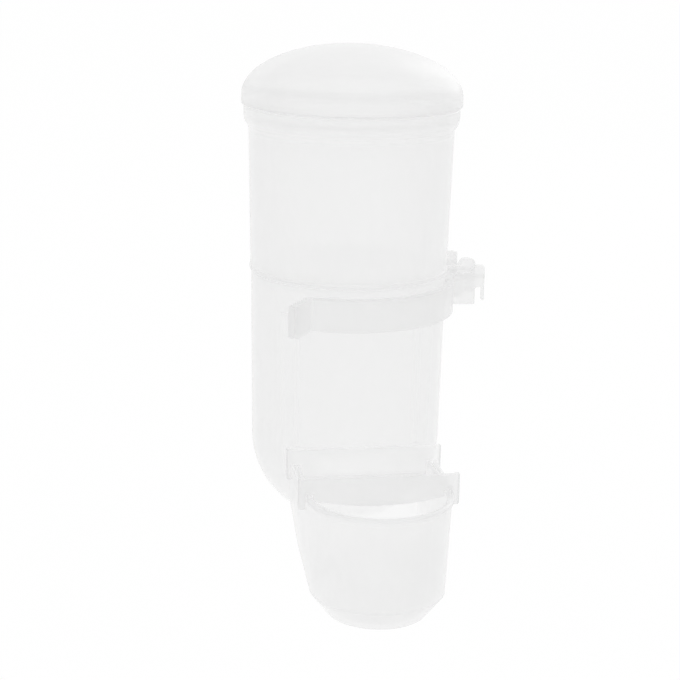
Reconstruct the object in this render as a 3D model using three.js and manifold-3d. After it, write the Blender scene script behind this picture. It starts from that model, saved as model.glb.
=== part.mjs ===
// Automatic seed feeder for a bird cage, in millimetres, Z up, feeding side toward -Y.
// Heights are measured from the seam between the seed tube and the base. The finished object is
// then lowered or raised so that the origin is on the tube axis at half the height of the cage clip.
import * as THREE from 'three';
import { mergeVertices } from 'three/addons/utils/BufferGeometryUtils.js';
import Module from 'manifold-3d';

const wasm = await Module();
wasm.setup();

// Sizes shared by every moulding
const WALL = 1.3;
const CLEARANCE = 0.3;
const ROUND_SEGMENTS = 48;

// Seed tube
const TUBE_SEAM_RADIUS = 29.4;
const TUBE_WIDENING = 0.9;
const TUBE_STRAIGHT_HEIGHT = 41.7;
const COLLAR_BEVEL_HEIGHT = 4.2;
const COLLAR_FACE_HEIGHT = 2.7;
const COLLAR_PROUD = 1.5;
const SEAM_BEAD_HEIGHT = 1.0;
const SEAM_BEAD_PROUD = 0.3;
const SPIGOT_DEPTH = 3.0;

// Lid
const LID_OVERHANG = 0.7;
const LID_RIM_HEIGHT = 2.7;
const LID_RIM_ROUND = 0.7;
const LID_DOME_HEIGHT = 14.8;
const LID_DOME_FULLNESS = 2.0;
const LID_PLUG_DEPTH = 11.7;

// Base with round bottom and flat front
const BASE_SEAM_RADIUS = 29.2;
const BASE_NARROWING = 0.7;
const BASE_STRAIGHT_HEIGHT = 51.3;
const BASE_BOTTOM_RADIUS = 26.1;
const FRONT_FLAT_DISTANCE = 18.6;
const SOCKET_RING_HEIGHT = 6.0;
const LEDGE_DROP = 3.0;
const WINDOW_WIDTH = 26.0;
const WINDOW_HEIGHT = 12.0;
const WINDOW_BELOW_RIM = 2.6;
const RIB_SPACING = 35.4;
const RIB_WIDTH = 1.2;
const RIB_PROUD = 0.8;

// Cage clip
const CLIP_TOP_DEPTH = 2.7;
const CLIP_HEIGHT = 9.6;
const CLIP_THICKNESS = 2.2;
const CLIP_FRONT_END_ANGLE = -32;
const CLIP_REAR_END_ANGLE = 231;
const LIP_REACH = 43.2;
const LIP_THICKNESS = 2.0;
const HOOK_ANGLE = 101;
const HOOK_SPREAD = 15.5;
const HOOK_THICKNESS = 2.4;
const HOOK_BOTTOM_RISE = 1.2;
const HOOK_SHOULDER_RISE = 1.3;
const HOOK_NOSE_RISE = 3.4;
const HOOK_NOSE_LENGTH = 0.75;
const WIRE_DISTANCE = 38.0;
const WIRE_SLOT_WIDTH = 1.4;
const WIRE_SLOT_TOP_DEPTH = 5.9;

// Feed trough
const CUP_CENTRE_DISTANCE = 60.0;
const CUP_RIM_RADIUS = 20.1;
const CUP_NARROWING = 1.15;
const CUP_RIM_DEPTH = 50.4;
const CUP_WALL_HEIGHT = 27.9;
const CUP_FLOOR_RADIUS = 14.0;
const CUP_FLOOR_DROP = 6.3;
const CHANNEL_REAR_DEPTH = 15.6;
const CHANNEL_KNEE_DISTANCE = 35.0;
const CHANNEL_KNEE_DEPTH = 23.6;
const RIM_BEAD_HEIGHT = 1.5;
const RIM_BEAD_PROUD = 0.6;
const SLEEVE_LENGTH = 3.0;

// Yoke across the trough
const YOKE_REAR_DISTANCE = 35.0;
const YOKE_FRONT_DISTANCE = 60.0;
const YOKE_PLATE_THICKNESS = 1.4;
const YOKE_ARM_THICKNESS = 0.8;
const YOKE_TAB_WIDTH = 1.3;
const YOKE_TAB_RISE = 0.3;
const YOKE_RISE = 4.8;
const YOKE_TAB_DROP = 3.9;
const YOKE_ARM_DROP = 3.0;
const YOKE_FRONT_APRON_DROP = 1.5;
const YOKE_REAR_APRON_DROP = 4.6;
const YOKE_ARM_RISE = 0.5;
const YOKE_FRONT_APRON_SAG = 2.1;

// Derived heights and radii
const tubeBevelZ = TUBE_STRAIGHT_HEIGHT;
const tubeCollarZ = tubeBevelZ + COLLAR_BEVEL_HEIGHT;
const tubeTopZ = tubeCollarZ + COLLAR_FACE_HEIGHT;
const tubeTopRadius = TUBE_SEAM_RADIUS + TUBE_WIDENING;
const collarRadius = tubeTopRadius + COLLAR_PROUD;
const baseTopZ = -CLEARANCE;
const baseTopInnerRadius = BASE_SEAM_RADIUS - WALL;
const baseLowRadius = BASE_SEAM_RADIUS - BASE_NARROWING;
const spigotRadius = baseTopInnerRadius - CLEARANCE;
const clipInnerRadius = BASE_SEAM_RADIUS + CLEARANCE;
const clipOuterRadius = clipInnerRadius + CLIP_THICKNESS;
const clipBottomZ = -CLIP_TOP_DEPTH - CLIP_HEIGHT;
const clipMiddleZ = -CLIP_TOP_DEPTH - CLIP_HEIGHT / 2;
const cupRimZ = -CUP_RIM_DEPTH;
const cupEdgeZ = cupRimZ - CUP_WALL_HEIGHT;
const cupFloorZ = cupEdgeZ - CUP_FLOOR_DROP;
const windowTopZ = cupRimZ - WINDOW_BELOW_RIM;
const windowLowZ = windowTopZ - WINDOW_HEIGHT;
const troughRearDistance = FRONT_FLAT_DISTANCE + CLEARANCE;
const ledgeLowZ = -SOCKET_RING_HEIGHT - LEDGE_DROP;
const ribTopZ = ledgeLowZ + WALL / 2;
const ribLowZ = cupRimZ + 2 * CLEARANCE;

const UP = new THREE.Vector3(0, 0, 1);

// Inner radius of the seed tube at a height above the seam
function tubeInnerRadius(z) {
  return TUBE_SEAM_RADIUS - WALL + (TUBE_WIDENING * z) / tubeTopZ;
}

// Outer radius of the straight part of the base at a height below the seam
function baseOuterRadius(z) {
  return BASE_SEAM_RADIUS + (BASE_NARROWING * z) / BASE_STRAIGHT_HEIGHT;
}

// Horizontal direction at an angle from the front, positive toward +X
function heading(degrees) {
  const angle = THREE.MathUtils.degToRad(degrees);
  return new THREE.Vector3(Math.sin(angle), -Math.cos(angle), 0);
}

// Body turned about the vertical axis from radius and height pairs listed with the material on the left
function turned(points) {
  const profile = points.map(([radius, z]) => new THREE.Vector2(radius, z));
  const geometry = new THREE.LatheGeometry(profile, ROUND_SEGMENTS);
  geometry.rotateX(Math.PI / 2);
  return geometry;
}

// Upright plate drawn as distance and height pairs, with its thickness split to both sides
function uprightPlate(points, forward, thickness) {
  const outline = new THREE.Shape(points.map(([along, z]) => new THREE.Vector2(along, z)));
  const geometry = new THREE.ExtrudeGeometry(outline, { depth: thickness, bevelEnabled: false });
  geometry.translate(0, 0, -thickness / 2);
  const sideways = new THREE.Vector3().crossVectors(forward, UP);
  geometry.applyMatrix4(new THREE.Matrix4().makeBasis(forward, UP, sideways));
  return geometry;
}

// Cross plate drawn as X and height pairs, filling the space between two distances forward
function crossPlate(points, nearDistance, farDistance) {
  const outline = new THREE.Shape(points.map(([x, z]) => new THREE.Vector2(x, z)));
  const depth = farDistance - nearDistance;
  const geometry = new THREE.ExtrudeGeometry(outline, { depth, bevelEnabled: false });
  const right = new THREE.Vector3(1, 0, 0);
  geometry.applyMatrix4(new THREE.Matrix4().makeBasis(right, UP, heading(0)));
  geometry.translate(0, -nearDistance, 0);
  return geometry;
}

// Box between two corners
function block(low, high) {
  const geometry = new THREE.BoxGeometry(high[0] - low[0], high[1] - low[1], high[2] - low[2]);
  geometry.translate((low[0] + high[0]) / 2, (low[1] + high[1]) / 2, (low[2] + high[2]) / 2);
  return geometry;
}

// Welded triangle mesh without the collapsed triangles at the poles of turned bodies
function welded(geometry) {
  geometry.deleteAttribute('normal');
  geometry.deleteAttribute('uv');
  const merged = mergeVertices(geometry, 1e-4);
  const kept = [];
  for (let i = 0; i < merged.index.count; i += 3) {
    const [a, b, c] = [0, 1, 2].map((k) => merged.index.getX(i + k));
    if (a !== b && b !== c && c !== a) {
      kept.push(a, b, c);
    }
  }
  merged.setIndex(kept);
  return merged;
}

// Solid for joining and cutting
function solid(geometry) {
  const mesh = welded(geometry);
  return new wasm.Manifold(new wasm.Mesh({
    numProp: 3,
    vertProperties: new Float32Array(mesh.attributes.position.array),
    triVerts: new Uint32Array(mesh.index.array),
  }));
}

function geometryOf(body) {
  const mesh = body.getMesh();
  const geometry = new THREE.BufferGeometry();
  geometry.setAttribute('position', new THREE.BufferAttribute(new Float32Array(mesh.vertProperties), 3));
  geometry.setIndex(new THREE.BufferAttribute(new Uint32Array(mesh.triVerts), 1));
  return geometry;
}

// Milky translucent moulding material, one for each piece
function milkyPlastic(colour, roughness) {
  return new THREE.MeshStandardMaterial({ color: colour, roughness, metalness: 0 });
}

// Points on a quarter of a rounded dome, from the rim at the given radius to the axis
function domeQuarter(radius, rimZ, height, steps) {
  const points = [];
  for (let i = 0; i <= steps; i += 1) {
    const angle = (Math.PI / 2) * (i / steps);
    const across = Math.cos(angle) ** (2 / LID_DOME_FULLNESS);
    const rise = Math.sin(angle) ** (2 / LID_DOME_FULLNESS);
    points.push([i === steps ? 0 : radius * across, rimZ + height * rise]);
  }
  return points;
}

// Lid: shallow dome with a rounded rim and a ring that plugs into the tube
function buildLid() {
  const seatZ = tubeTopZ + CLEARANCE;
  const rimZ = seatZ + LID_RIM_HEIGHT;
  const lidRadius = collarRadius + LID_OVERHANG;
  const plugBottomZ = seatZ - LID_PLUG_DEPTH;
  const plugTopRadius = tubeInnerRadius(seatZ) - CLEARANCE;
  const plugBottomRadius = tubeInnerRadius(plugBottomZ) - CLEARANCE;
  const innerHeight = LID_RIM_HEIGHT + LID_DOME_HEIGHT - 2 * WALL;
  const inner = domeQuarter(plugTopRadius - WALL, seatZ + WALL, innerHeight, 9);
  const outer = domeQuarter(lidRadius, rimZ, LID_DOME_HEIGHT, 11);
  return turned([
    ...inner.reverse(),
    [plugBottomRadius - WALL, plugBottomZ],
    [plugBottomRadius, plugBottomZ],
    [plugTopRadius, seatZ],
    [lidRadius - LID_RIM_ROUND, seatZ],
    [lidRadius, seatZ + LID_RIM_ROUND],
    ...outer,
  ]);
}

// Seed tube: slightly widening wall, collar at the top, bead at the seam and spigot into the base
function buildTube() {
  return turned([
    [spigotRadius - WALL, -SPIGOT_DEPTH],
    [spigotRadius, -SPIGOT_DEPTH],
    [spigotRadius, 0],
    [TUBE_SEAM_RADIUS + SEAM_BEAD_PROUD, 0],
    [TUBE_SEAM_RADIUS + SEAM_BEAD_PROUD, SEAM_BEAD_HEIGHT],
    [TUBE_SEAM_RADIUS, SEAM_BEAD_HEIGHT + SEAM_BEAD_PROUD],
    [tubeTopRadius, tubeBevelZ],
    [collarRadius, tubeCollarZ],
    [collarRadius, tubeTopZ],
    [tubeInnerRadius(tubeTopZ), tubeTopZ],
    [tubeInnerRadius(SEAM_BEAD_HEIGHT + WALL), SEAM_BEAD_HEIGHT + WALL],
    [spigotRadius - WALL, SEAM_BEAD_HEIGHT],
    [spigotRadius - WALL, -SPIGOT_DEPTH],
  ]);
}

// Round-bottomed body of the base, shrunk inward by an offset and ending at a top height
function baseBody(inset, topZ) {
  const centreRadius = baseLowRadius - BASE_BOTTOM_RADIUS;
  const arcRadius = BASE_BOTTOM_RADIUS - inset;
  const arcZ = -BASE_STRAIGHT_HEIGHT;
  const points = [[0, arcZ - arcRadius]];
  const steps = 12;
  for (let i = 0; i <= steps; i += 1) {
    const angle = (Math.PI / 2) * (i / steps);
    points.push([centreRadius + arcRadius * Math.sin(angle), arcZ - arcRadius * Math.cos(angle)]);
  }
  points.push([baseOuterRadius(topZ) - inset, topZ]);
  points.push([0, topZ]);
  return solid(turned(points));
}

// Wedge of space in front of the flat face, under the sloping ledge below the socket ring
function frontSpace(inset) {
  const flat = FRONT_FLAT_DISTANCE - inset;
  const slope = LEDGE_DROP / (BASE_SEAM_RADIUS - FRONT_FLAT_DISTANCE);
  const ledgeZ = ledgeLowZ + inset * Math.hypot(1, slope) - inset * slope;
  const farther = 2 * BASE_SEAM_RADIUS;
  const fartherZ = ledgeZ + slope * (farther - flat);
  const lowZ = -2 * (BASE_STRAIGHT_HEIGHT + BASE_BOTTOM_RADIUS);
  const outline = [[flat, lowZ], [farther, lowZ], [farther, fartherZ], [flat, ledgeZ]];
  return solid(uprightPlate(outline, heading(0), 4 * BASE_SEAM_RADIUS));
}

// Base: socket ring, flat front with two guide ribs and the seed window, round bottom
function buildBase() {
  const outside = baseBody(0, baseTopZ).subtract(frontSpace(0));
  const inside = baseBody(WALL, WALL).subtract(frontSpace(WALL));
  const window = solid(block(
    [-WINDOW_WIDTH / 2, -FRONT_FLAT_DISTANCE - WALL, windowLowZ],
    [WINDOW_WIDTH / 2, -FRONT_FLAT_DISTANCE + 2 * WALL, windowTopZ],
  ));
  let body = outside.subtract(inside).subtract(window);
  for (const side of [-1, 1]) {
    const x = (side * RIB_SPACING) / 2;
    const rib = solid(block(
      [x - RIB_WIDTH / 2, -FRONT_FLAT_DISTANCE - RIB_PROUD, ribLowZ],
      [x + RIB_WIDTH / 2, -FRONT_FLAT_DISTANCE + WALL / 2, ribTopZ],
    ));
    body = body.add(rib);
  }
  return geometryOf(body);
}

// Open band of the cage clip as a sector of a ring
function clipBand() {
  const from = THREE.MathUtils.degToRad(CLIP_FRONT_END_ANGLE - 90);
  const to = THREE.MathUtils.degToRad(CLIP_REAR_END_ANGLE - 90);
  const sector = new THREE.Shape();
  sector.absarc(0, 0, clipOuterRadius, from, to, false);
  sector.absarc(0, 0, clipInnerRadius, to, from, true);
  const geometry = new THREE.ExtrudeGeometry(sector, {
    depth: CLIP_HEIGHT,
    bevelEnabled: false,
    curveSegments: ROUND_SEGMENTS / 2,
  });
  geometry.translate(0, 0, clipBottomZ);
  return solid(geometry);
}

// Turned-out lip at the front end of the clip band
function clipLip() {
  const start = clipInnerRadius + CLIP_THICKNESS / 3;
  const bevel = LIP_THICKNESS / 2;
  const outline = [
    [start, clipBottomZ],
    [LIP_REACH - bevel, clipBottomZ],
    [LIP_REACH, clipBottomZ + bevel],
    [LIP_REACH, -CLIP_TOP_DEPTH],
    [start, -CLIP_TOP_DEPTH],
  ];
  const lip = uprightPlate(outline, heading(CLIP_FRONT_END_ANGLE), LIP_THICKNESS);
  const inward = heading(CLIP_FRONT_END_ANGLE + 90).multiplyScalar(LIP_THICKNESS / 2);
  lip.translate(inward.x, inward.y, 0);
  return solid(lip);
}

// Distances along a finger to both sides of its slot, for a straight wire that it meets at a lean
function wireSlot(turn) {
  const lean = THREE.MathUtils.degToRad(turn);
  const middle = WIRE_DISTANCE / Math.cos(lean);
  const half = WIRE_SLOT_WIDTH / 2 + (HOOK_THICKNESS / 2) * Math.abs(Math.tan(lean));
  return [middle - half, middle + half];
}

// One radial hook finger. Its slot is open below, and one straight wire passes through all the slots.
function clipHook(turn) {
  const start = clipInnerRadius + CLIP_THICKNESS / 2;
  const [slotStart, slotEnd] = wireSlot(turn);
  const reach = wireSlot(HOOK_SPREAD)[1] + HOOK_NOSE_LENGTH;
  const lowZ = clipBottomZ + HOOK_BOTTOM_RISE;
  const slotTopZ = -WIRE_SLOT_TOP_DEPTH;
  const shoulderZ = -CLIP_TOP_DEPTH + HOOK_SHOULDER_RISE;
  const noseZ = -CLIP_TOP_DEPTH + HOOK_NOSE_RISE;
  const round = (reach - slotEnd) / 2;
  const outline = [
    [start, lowZ],
    [slotStart, lowZ],
    [slotStart, slotTopZ],
    [slotEnd, slotTopZ],
    [slotEnd, lowZ + HOOK_BOTTOM_RISE],
    [reach, lowZ + HOOK_BOTTOM_RISE],
    [reach, noseZ - round],
    [reach - 0.3 * round, noseZ - 0.3 * round],
    [reach - round, noseZ],
    [slotStart, noseZ],
    [slotStart - WIRE_SLOT_WIDTH, shoulderZ],
    [clipOuterRadius + HOOK_SHOULDER_RISE, shoulderZ],
    [clipOuterRadius, -CLIP_TOP_DEPTH],
    [start, -CLIP_TOP_DEPTH],
  ];
  return solid(uprightPlate(outline, heading(HOOK_ANGLE + turn), HOOK_THICKNESS));
}

// Cage clip: open band round the base, lip at one end and three hook fingers for a cage wire
function buildClip() {
  let body = clipBand().add(clipLip());
  for (const step of [-1, 0, 1]) {
    body = body.add(clipHook(step * HOOK_SPREAD));
  }
  return geometryOf(body);
}

// Half width of the trough at a height, less an inset
function troughHalfWidth(z, inset) {
  return CUP_RIM_RADIUS - (CUP_NARROWING * (cupRimZ - z)) / CUP_WALL_HEIGHT - inset;
}

// Tapered round front of the trough, inset for its hollow
function cupBody(inset, topZ) {
  const cup = turned([
    [0, cupFloorZ + inset],
    [CUP_FLOOR_RADIUS - inset / 2, cupFloorZ + inset],
    [troughHalfWidth(cupEdgeZ, inset), cupEdgeZ + inset / 2],
    [troughHalfWidth(topZ, inset), topZ],
    [0, topZ],
  ]);
  cup.translate(0, -CUP_CENTRE_DISTANCE, 0);
  return solid(cup);
}

// Straight channel from the flat front of the base to the round front of the trough
function channelBody(inset, topZ) {
  const topHalf = troughHalfWidth(topZ, inset);
  const lowHalf = troughHalfWidth(cupFloorZ, inset);
  const section = [[-lowHalf, cupFloorZ], [lowHalf, cupFloorZ], [topHalf, topZ], [-topHalf, topZ]];
  const rear = troughRearDistance + inset;
  const prism = solid(crossPlate(section, rear, CUP_CENTRE_DISTANCE));
  const side = [
    [rear, cupRimZ - CHANNEL_REAR_DEPTH + inset],
    [CHANNEL_KNEE_DISTANCE, cupRimZ - CHANNEL_KNEE_DEPTH + inset],
    [CUP_CENTRE_DISTANCE, cupEdgeZ + inset],
    [CUP_CENTRE_DISTANCE, topZ],
    [rear, topZ],
  ];
  return prism.intersect(solid(uprightPlate(side, heading(0), 4 * CUP_RIM_RADIUS)));
}

// Half round bead along the rim of the trough's round front
function rimBead() {
  const beadRadius = CUP_RIM_RADIUS + RIM_BEAD_PROUD;
  const bead = turned([
    [0, cupRimZ - RIM_BEAD_HEIGHT],
    [CUP_RIM_RADIUS, cupRimZ - RIM_BEAD_HEIGHT],
    [beadRadius, cupRimZ - RIM_BEAD_HEIGHT + RIM_BEAD_PROUD],
    [beadRadius, cupRimZ],
    [0, cupRimZ],
  ]);
  bead.translate(0, -CUP_CENTRE_DISTANCE, 0);
  const nearY = -YOKE_FRONT_DISTANCE - YOKE_PLATE_THICKNESS - CLEARANCE;
  const front = block(
    [-2 * beadRadius, nearY - 2 * beadRadius, cupRimZ - 2 * RIM_BEAD_HEIGHT],
    [2 * beadRadius, nearY, cupRimZ + RIM_BEAD_HEIGHT],
  );
  return solid(bead).intersect(solid(front));
}

// Sleeve that passes through the window of the base, inset for its hollow
function sleeve(inset, nearDistance, farDistance) {
  const half = WINDOW_WIDTH / 2 - CLEARANCE - inset;
  const topZ = windowTopZ - CLEARANCE - inset;
  const lowZ = windowLowZ + CLEARANCE + inset;
  return solid(block([-half, -farDistance, lowZ], [half, -nearDistance, topZ]));
}

// Feed trough: open channel with a round front, pushed into the window of the base
function buildTrough() {
  const above = cupRimZ + WALL;
  const sleeveEnd = FRONT_FLAT_DISTANCE - WALL - SLEEVE_LENGTH;
  const outside = cupBody(0, cupRimZ)
    .add(channelBody(0, cupRimZ))
    .add(rimBead())
    .add(sleeve(0, sleeveEnd, troughRearDistance + WALL / 2));
  const body = outside
    .subtract(cupBody(WALL, above))
    .subtract(channelBody(WALL, above))
    .subtract(sleeve(WALL, sleeveEnd - WALL, troughRearDistance + 2 * WALL));
  return geometryOf(body);
}

// Cross plate of the yoke: notches over the trough walls, an apron between them and tabs outside
function yokePlate(frontDistance, apronDrop, sag) {
  const apronZ = cupRimZ - apronDrop;
  const tabLowZ = cupRimZ - YOKE_TAB_DROP;
  const topZ = cupRimZ + YOKE_RISE;
  const notchZ = cupRimZ + CLEARANCE;
  const notchInner = troughHalfWidth(apronZ - sag, WALL + CLEARANCE);
  const notchOuter = CUP_RIM_RADIUS + CLEARANCE;
  const tabStart = notchOuter + YOKE_ARM_THICKNESS;
  const tabEnd = tabStart + YOKE_TAB_WIDTH;
  const right = [
    [notchInner, apronZ],
    [notchInner, notchZ],
    [notchOuter, notchZ],
    [notchOuter, tabLowZ],
    [tabEnd, tabLowZ],
    [tabEnd, topZ + YOKE_TAB_RISE],
    [tabStart, topZ + YOKE_TAB_RISE],
    [tabStart, topZ],
  ];
  const left = right.map(([x, z]) => [-x, z]).reverse();
  const apron = [];
  for (const share of [-0.75, -0.5, -0.25, 0, 0.25, 0.5, 0.75]) {
    apron.push([notchInner * share, apronZ - sag * (1 - share ** 2)]);
  }
  const outline = [...left, ...apron, ...right];
  return solid(crossPlate(outline, frontDistance - YOKE_PLATE_THICKNESS, frontDistance));
}

// Yoke: two cross plates joined by arms along the outside of the trough walls
function buildYoke() {
  const rear = yokePlate(YOKE_REAR_DISTANCE, YOKE_REAR_APRON_DROP, 0);
  const front = yokePlate(YOKE_FRONT_DISTANCE, YOKE_FRONT_APRON_DROP, YOKE_FRONT_APRON_SAG);
  let body = rear.add(front);
  const inner = CUP_RIM_RADIUS + CLEARANCE;
  for (const side of [-1, 1]) {
    const edges = [side * inner, side * (inner + YOKE_ARM_THICKNESS)].sort((a, b) => a - b);
    const arm = block(
      [edges[0], -YOKE_FRONT_DISTANCE + YOKE_PLATE_THICKNESS / 2, cupRimZ - YOKE_ARM_DROP],
      [edges[1], -YOKE_REAR_DISTANCE + YOKE_PLATE_THICKNESS / 2, cupRimZ + YOKE_ARM_RISE],
    );
    body = body.add(solid(arm));
  }
  return geometryOf(body);
}

// Assembly
const feeder = new THREE.Group();
feeder.name = 'bird_feeder';
feeder.position.z = -clipMiddleZ;

function place(name, geometry, material) {
  const mesh = new THREE.Mesh(geometry, material);
  mesh.name = name;
  feeder.add(mesh);
}

place('lid', welded(buildLid()), milkyPlastic(0xeeeeee, 0.32));
place('seed_tube', welded(buildTube()), milkyPlastic(0xeff0f0, 0.38));
place('hopper_base', buildBase(), milkyPlastic(0xf0f0f0, 0.4));
place('cage_clip', buildClip(), milkyPlastic(0xececec, 0.42));
place('feed_trough', buildTrough(), milkyPlastic(0xf1f1f0, 0.38));
place('trough_yoke', buildYoke(), milkyPlastic(0xebebeb, 0.42));

export default feeder;
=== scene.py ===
"""Milky plastic bird feeder: six mouldings as surfaces over the CAD frame, on a white stage."""

import math

import bpy
import numpy as np
from mathutils import Matrix


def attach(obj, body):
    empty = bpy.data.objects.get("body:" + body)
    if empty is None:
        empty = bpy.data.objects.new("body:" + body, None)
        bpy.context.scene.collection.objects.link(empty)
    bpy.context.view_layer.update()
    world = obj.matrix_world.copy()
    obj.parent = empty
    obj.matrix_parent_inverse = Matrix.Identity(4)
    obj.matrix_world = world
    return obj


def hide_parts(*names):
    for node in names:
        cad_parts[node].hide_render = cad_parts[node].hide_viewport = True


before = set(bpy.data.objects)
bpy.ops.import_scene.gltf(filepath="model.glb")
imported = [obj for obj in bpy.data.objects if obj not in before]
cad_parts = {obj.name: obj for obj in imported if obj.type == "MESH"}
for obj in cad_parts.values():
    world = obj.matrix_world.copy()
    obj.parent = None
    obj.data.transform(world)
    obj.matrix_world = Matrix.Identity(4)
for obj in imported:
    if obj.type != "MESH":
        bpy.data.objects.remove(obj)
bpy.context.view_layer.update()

# Sizes in millimetres and angles in degrees. Heights count from the seam between tube and base,
# which lies SEAM_RISE above the origin. Names that end in ROWS, COLUMNS, STEPS or TURNS count the
# lines of a grid.
MM = 0.001
SEAM_RISE = 7.5
WALL = 1.3
CLEARANCE = 0.3
TURNS = 168
WELDS_PER_MM = 2000
SHARP_ANGLE = 40.0
SAME_PLACE = 1e-6
LEG_SHARE = 0.48

TUBE_RADIUS = 29.4
TUBE_TOP_RADIUS = 30.3
COLLAR_RADIUS = 31.8
TUBE_BEVEL_Z = 41.7
BEVEL_FOOT = 0.9
BEVEL_HEAD = 1.6
BEVEL_EASE = 0.2
COLLAR_Z = 45.9
TUBE_TOP_Z = 48.6
SPIGOT_RADIUS = 27.6
SPIGOT_DEPTH = 3.0
BEAD_HEIGHT = 1.0
BEAD_PROUD = 0.3

LID_RADIUS = 32.5
LID_SEAT_Z = TUBE_TOP_Z + CLEARANCE
LID_RIM_HEIGHT = 2.7
LID_DOME_HEIGHT = 14.8
PLUG_DEPTH = 11.7
PLUG_RADIUS = 28.7
PLUG_LOW_RADIUS = 28.49
DOME_ROWS = 44

BASE_RADIUS = 29.2
BASE_NARROWING = 0.7
BASE_STRAIGHT = 51.3
BASE_TOP_Z = -0.7
BOTTOM_ARC = 26.1
BOTTOM_CENTRE = BASE_RADIUS - BASE_NARROWING - BOTTOM_ARC
BOTTOM_ROWS = 26
FLAT_DISTANCE = 18.6
FLAT_HALF = 21.0
FLAT_ROUNDING = 0.9
ROUND_START = 55.0
ROUND_COLUMNS = 50
SPREAD_FULL = 36.0
SPREAD_END = 80.0
LEDGE_LOW_Z = -9.0
LEDGE_SLOPE = 3.0 / (BASE_RADIUS - FLAT_DISTANCE)
LEDGE_ROUNDING = 0.6
LEDGE_LIMIT = 80.0
WINDOW_HALF = 13.0
WINDOW_TOP_Z = -53.0
WINDOW_LOW_Z = -65.0
WINDOW_ROWS = 14
WINDOW_COLUMNS = 26
RIB_X = 17.7
RIB_HALF = 0.6
RIB_PROUD = 0.8
RIB_LOW_Z = -49.8
RIB_EDGE = 0.2
RIB_END = 0.3
RIB_MARGIN = 0.1

CLIP_INNER = 29.5
CLIP_THICKNESS = 2.2
CLIP_TOP_Z = -2.7
CLIP_LOW_Z = -12.3
CLIP_FRONT_ANGLE = -32.0
CLIP_REAR_ANGLE = 231.0
CLIP_EDGE = 0.35
ARC_ROWS = 150
LIP_REACH = 43.2
LIP_BEND = 2.4
LIP_BEND_ANGLE = 10.0
LIP_BEND_OUT = 0.15
LIP_BEND_STEPS = 14
LIP_ROWS = 12
LIP_END_RISE = 1.0
LIP_END_LENGTH = 1.6
FINGER_ANGLE = 101.0
FINGER_SPREAD = 15.5
FINGER_THICKNESS = 2.4
FINGER_REACH = 41.2
FINGER_LOW_Z = CLIP_LOW_Z + 1.2
PRONG_LOW_Z = FINGER_LOW_Z + 1.2
NOSE_Z = CLIP_TOP_Z + 3.4
NOSE_SHARE = 0.9
SHOULDER_Z = CLIP_TOP_Z + 1.3
SHOULDER_SLOPE = 1.3
ROOT_OVERLAP = 0.3
WIRE_DISTANCE = 38.0
WIRE_SLOT = 1.4
WIRE_SLOT_TOP_Z = -5.9

CUP_DISTANCE = 60.0
CUP_RADIUS = 20.1
CUP_NARROWING = 1.15
CUP_RIM_Z = -50.4
CUP_EDGE_Z = -78.3
CUP_FLOOR_Z = -84.6
CUP_FLOOR_RADIUS = 14.0
CUP_FILLET = 0.8
CUP_WALL_SLOPE = 12.0
CHANNEL_REAR_Z = -66.0
CHANNEL_KNEE = 35.0
CHANNEL_KNEE_Z = -74.0
CHANNEL_END = 0.5
SPINE_START = 8.0
TROUGH_REAR = 18.9
BEAD_DROP = 1.5
BEAD_EDGE = 0.4
BEAD_START = 61.7
BEAD_FULL = 62.5
RIM_BEAD = 0.6
RIM_ROUND = 0.5
SLEEVE_HALF = 12.7
SLEEVE_TOP_Z = -53.3
SLEEVE_LOW_Z = -64.7
SLEEVE_END = 14.3
SLEEVE_COLUMNS = 8
SLEEVE_ROWS = 8
SILL_ROWS = 3
HEAD_ROWS = 8
CORNER_COLUMNS = 5
SIDE_COLUMNS = 84
CUP_COLUMNS = 56
FLOOR_ROWS = 22
CONE_ROWS = 16

YOKE_REAR = 35.0
YOKE_FRONT = 60.0
YOKE_PLATE = 1.4
YOKE_ARM = 0.8
YOKE_SAG = 2.1
YOKE_EDGE = 0.2
YOKE_TOP = 4.8
REAR_APRON = 4.6
FRONT_APRON = 1.5
APRON_SHARE = 0.9
APRON_ROWS = 25
APRON_END = 0.95
APRON_END_SAG = 0.1
TAB_DROP = 3.9
TAB_WIDTH = 1.3
TAB_TOP = 0.3
ARM_DROP = 3.0
ARM_RISE = 0.5
ARM_OVERLAP = 0.05

# The flat front's formula stops at this slant, in radians, and at this cosine.
STEEP = 1.5
LEAST_COSINE = 0.05

# Rounded rims of base and trough: how far in from the outside, and the height or the drop there.
BASE_LIP = np.array([[0.12, -0.42], [0.4, -0.3], [0.9, -0.3], [1.18, -0.42]])
TROUGH_LIP = np.array([[0.12, 0.2], [0.4, 0.03], [0.65, 0.0], [0.9, 0.03], [1.18, 0.2]])


def smooth_step(value, start, end):
    """0 before start, 1 after end, and 3t^2 - 2t^3 between them."""
    t = np.clip((value - start) / (end - start), 0.0, 1.0)
    return t * t * (3.0 - 2.0 * t)


def smooth_least(a, b, width):
    """The smaller of two values, with the corner between them rounded off over a width."""
    h = np.clip(0.5 + 0.5 * (b - a) / width, 0.0, 1.0)
    return b + (a - b) * h - width * h * (1.0 - h)


def smooth_most(a, b, width):
    """The larger of two values, rounded the same way."""
    return -smooth_least(-a, -b, width)


def stops(*marks):
    """Evenly spaced values between marks given as value, count, value, count, value, each mark
    once."""
    spans = zip(marks[:-2:2], marks[1::2], marks[2::2])
    runs = [np.linspace(start, end, count, endpoint=False) for start, count, end in spans]
    return np.concatenate(runs + [[marks[-1]]])


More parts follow.
